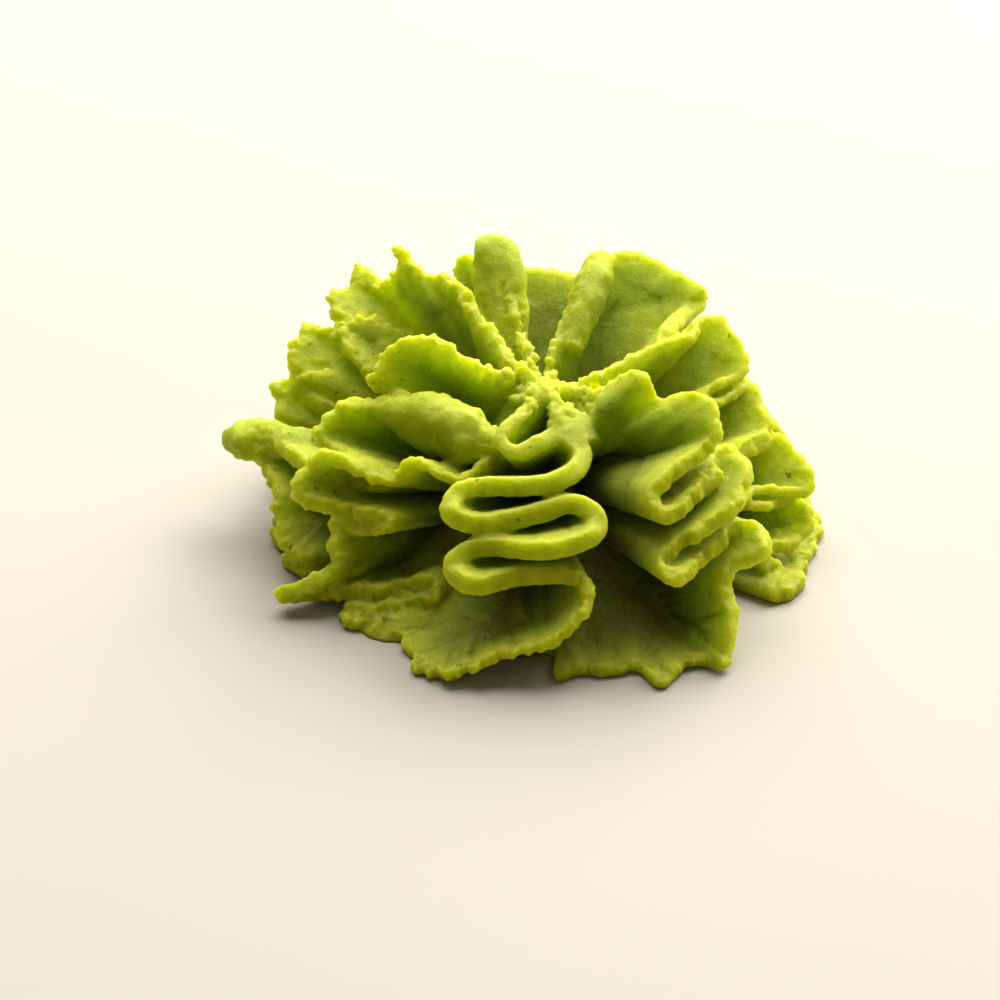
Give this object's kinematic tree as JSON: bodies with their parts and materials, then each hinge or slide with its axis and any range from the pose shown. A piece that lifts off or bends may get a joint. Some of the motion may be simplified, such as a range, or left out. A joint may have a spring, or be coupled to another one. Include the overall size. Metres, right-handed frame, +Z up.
{
  "type": "piped wasabi paste rosette",
  "caption": "Low piped rosette of green paste: ruffled fins fold from side to side down a dome, with torn crests round a star-shaped middle and a ragged foot.",
  "frame": {"origin": "middle of the flat base, under the middle of the star that the fins radiate from", "axes": "+Z up, +X to the right and +Y away from the front, where the folded front fin faces -Y"},
  "size_m": [0.0402, 0.0381, 0.016],
  "materials": {
    "wasabi_paste": "moist, fine-grained green paste, satin to matt, stated as matte_plastic because the list has no food"
  },
  "bodies": {
    "root": {"wasabi_rosette": "wasabi_paste"}
  },
  "joints": []
}
